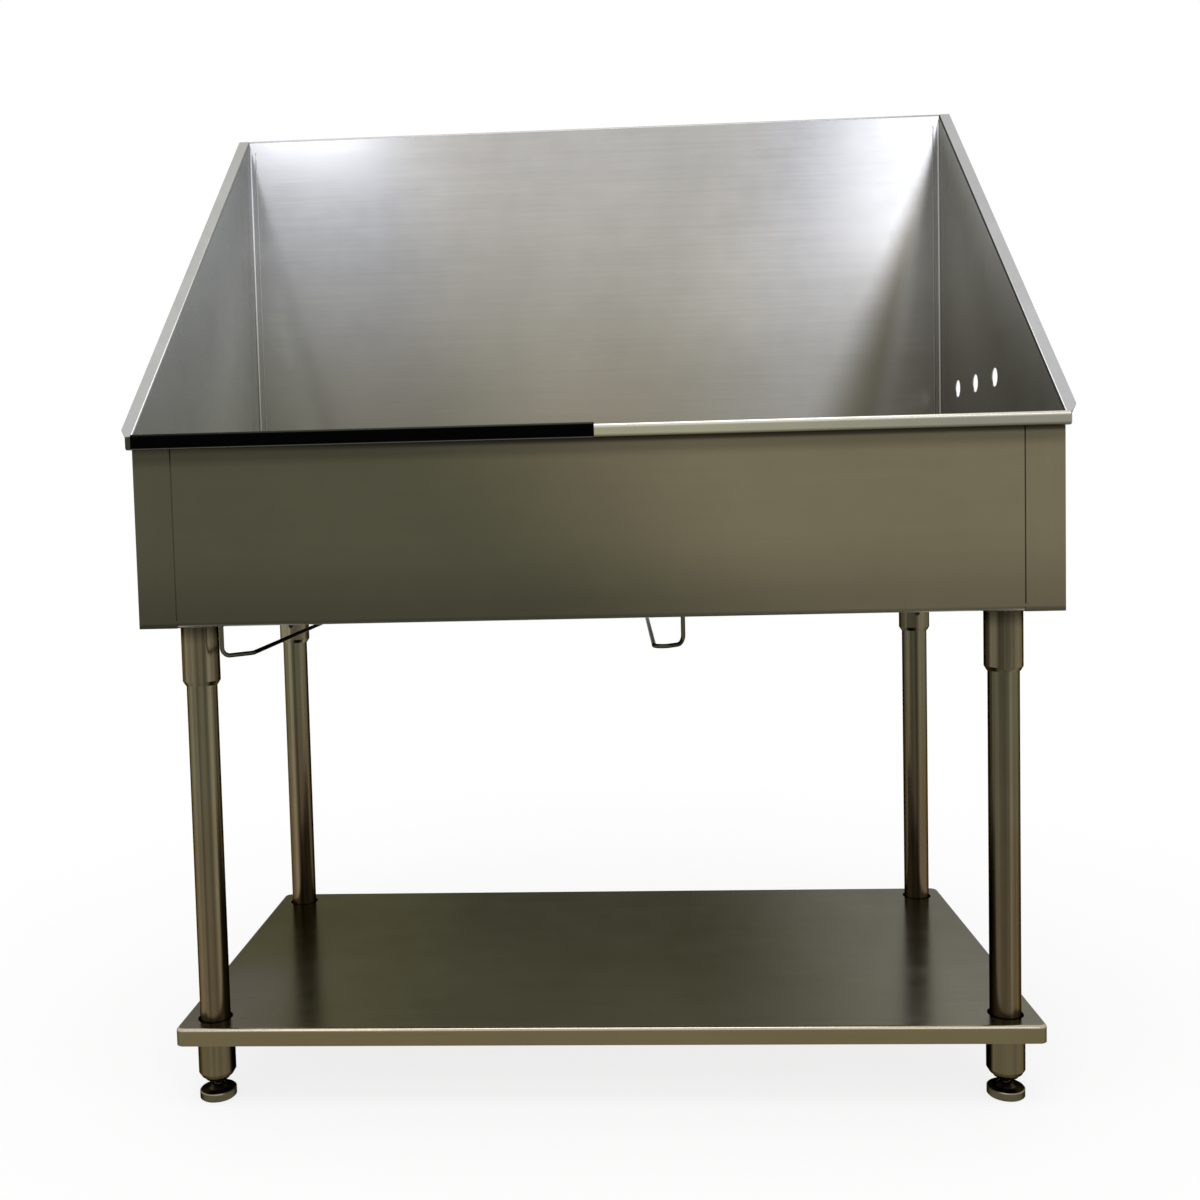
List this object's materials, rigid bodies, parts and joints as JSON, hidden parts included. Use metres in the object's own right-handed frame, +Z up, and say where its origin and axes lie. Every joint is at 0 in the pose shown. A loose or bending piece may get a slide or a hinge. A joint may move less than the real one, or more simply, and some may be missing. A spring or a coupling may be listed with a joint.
{
  "type": "utility laundry sink",
  "caption": "Free-standing stainless utility sink with a wide bowl, tall back panel, sloping side splashes, round legs, undershelf and levelling feet.",
  "frame": {"origin": "on the floor, at the middle of the overall width and depth", "axes": "+X to the right of a person at the sink, +Y towards the wall behind it, +Z up"},
  "size_m": [1.253, 0.6378, 1.476],
  "materials": {
    "bowl_stainless": "satin, fine grain along the sheet",
    "rim_stainless": "satin, worn bright on the edges",
    "socket_cast_steel": "turned and polished",
    "leg_tube_stainless": "polished tube",
    "shelf_stainless": "satin, fine grain along the sheet",
    "waste_bright_steel": "bright",
    "rod_stainless": "drawn rod",
    "foot_plated_steel": "plated, slightly dull",
    "screw_steel": "dark",
    "rubber_trim": "matt black",
    "gasket_rubber": "matt"
  },
  "bodies": {
    "bowl_and_legs": {"basin_shell": "bowl_stainless", "side_panel_left": "bowl_stainless", "side_panel_right": "bowl_stainless", "front_rim": "rim_stainless", "rim_end_caps": "rim_stainless", "rim_trim": "rubber_trim", "drain_body": "waste_bright_steel", "drain_gasket": "gasket_rubber", "drain_lock_nut": "waste_bright_steel", "wire_runner_left": "rod_stainless", "wire_runner_right": "rod_stainless", "socket_screws": "screw_steel", "leg_socket_fl": "socket_cast_steel", "leg_socket_fr": "socket_cast_steel", "leg_socket_rl": "socket_cast_steel", "leg_socket_rr": "socket_cast_steel", "leg_fl": "leg_tube_stainless", "leg_fr": "leg_tube_stainless", "leg_rl": "leg_tube_stainless", "leg_rr": "leg_tube_stainless", "foot_bush_fl": "foot_plated_steel", "foot_bush_fr": "foot_plated_steel", "foot_bush_rl": "foot_plated_steel", "foot_bush_rr": "foot_plated_steel"},
    "shelf": {"undershelf": "shelf_stainless", "shelf_stiffener": "shelf_stainless", "shelf_socket_screws": "screw_steel", "shelf_socket_fl": "socket_cast_steel", "shelf_socket_fr": "socket_cast_steel", "shelf_socket_rl": "socket_cast_steel", "shelf_socket_rr": "socket_cast_steel"},
    "foot_fl": {"foot_stem_fl": "foot_plated_steel", "foot_pad_fl": "foot_plated_steel"},
    "foot_fr": {"foot_stem_fr": "foot_plated_steel", "foot_pad_fr": "foot_plated_steel"},
    "foot_rl": {"foot_stem_rl": "foot_plated_steel", "foot_pad_rl": "foot_plated_steel"},
    "foot_rr": {"foot_stem_rr": "foot_plated_steel", "foot_pad_rr": "foot_plated_steel"},
    "strainer": {"strainer_basket": "waste_bright_steel", "strainer_knob": "waste_bright_steel"}
  },
  "joints": [
    {"name": "shelf_height", "type": "slide", "parent": "bowl_and_legs", "child": "shelf", "axis": [0, 0, 1], "range_m": [0, 0.25]},
    {"name": "foot_fl_height", "type": "slide", "parent": "bowl_and_legs", "child": "foot_fl", "axis": [0, 0, -1], "range_m": [-0.008, 0.03]},
    {"name": "foot_fr_height", "type": "slide", "parent": "bowl_and_legs", "child": "foot_fr", "axis": [0, 0, -1], "range_m": [-0.008, 0.03]},
    {"name": "foot_rl_height", "type": "slide", "parent": "bowl_and_legs", "child": "foot_rl", "axis": [0, 0, -1], "range_m": [-0.008, 0.03]},
    {"name": "foot_rr_height", "type": "slide", "parent": "bowl_and_legs", "child": "foot_rr", "axis": [0, 0, -1], "range_m": [-0.008, 0.03]},
    {"name": "strainer_lift", "type": "slide", "parent": "bowl_and_legs", "child": "strainer", "axis": [0, 0, 1], "range_m": [0, 0.06]}
  ]
}
